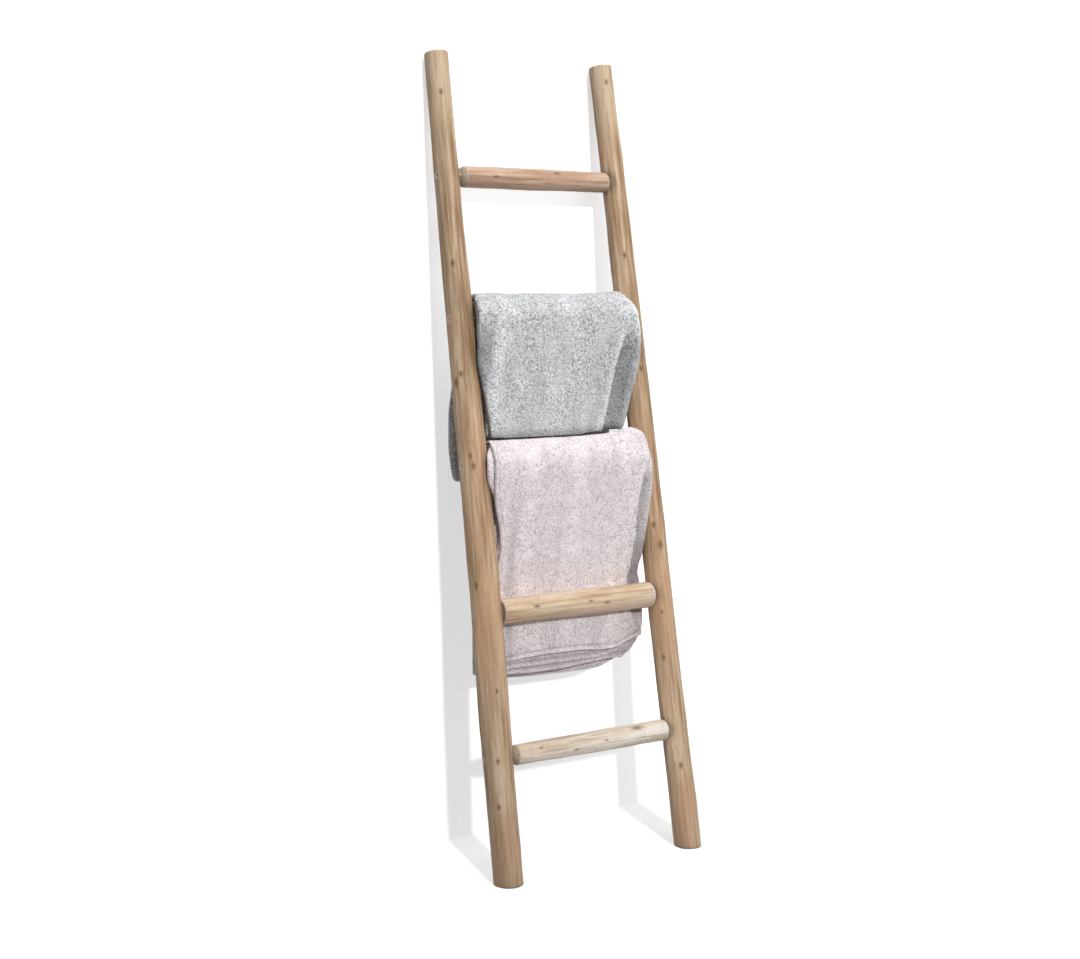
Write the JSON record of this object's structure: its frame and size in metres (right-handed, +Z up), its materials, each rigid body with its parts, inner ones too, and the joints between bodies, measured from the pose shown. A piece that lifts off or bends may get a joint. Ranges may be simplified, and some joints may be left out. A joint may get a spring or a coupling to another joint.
{
  "type": "leaning blanket ladder with folded throws",
  "caption": "Leaning wooden blanket ladder of round peeled poles and tenoned round rungs, with folded plush throws hung over the middle rungs.",
  "frame": {"origin": "on the floor, under the middle of the outline", "axes": "+Z up, +Y back towards the wall that the ladder leans on, +X to the right of someone facing the ladder"},
  "size_m": [0.5331, 0.3601, 1.7274],
  "materials": {
    "pole_wood": "peeled round wood, lightly sanded, dry matt oil, knots and fine cracks",
    "rung_wood_brown": "peeled round wood, brown, slight sheen",
    "rung_wood_pale": "peeled round wood, pale tan, matt",
    "rung_wood_grey": "peeled round wood, weathered pale grey, matt",
    "screw_steel": "zinc plated, dull",
    "grey_plush": "short dense plush pile, mottled light grey",
    "pink_plush": "short dense plush pile, mottled dusty pink"
  },
  "bodies": {
    "ladder": {"left_rail": "pole_wood", "right_rail": "pole_wood", "rung_1": "rung_wood_brown", "rung_2": "pole_wood", "rung_3": "pole_wood", "rung_4": "rung_wood_pale", "rung_5": "rung_wood_grey", "screw_left_1": "screw_steel", "screw_right_1": "screw_steel", "screw_left_2": "screw_steel", "screw_right_2": "screw_steel", "screw_left_3": "screw_steel", "screw_right_3": "screw_steel", "screw_left_4": "screw_steel", "screw_right_4": "screw_steel", "screw_left_5": "screw_steel", "screw_right_5": "screw_steel"},
    "grey_throw_body": {"grey_throw": "grey_plush"},
    "pink_throw_body": {"pink_throw": "pink_plush"}
  },
  "joints": [
    {"name": "grey_throw_slide", "type": "slide", "parent": "ladder", "child": "grey_throw_body", "axis": [1, 0, 0], "range_m": [-0.004, 0.004]},
    {"name": "pink_throw_slide", "type": "slide", "parent": "ladder", "child": "pink_throw_body", "axis": [1, 0, 0], "range_m": [-0.004, 0.004]}
  ]
}
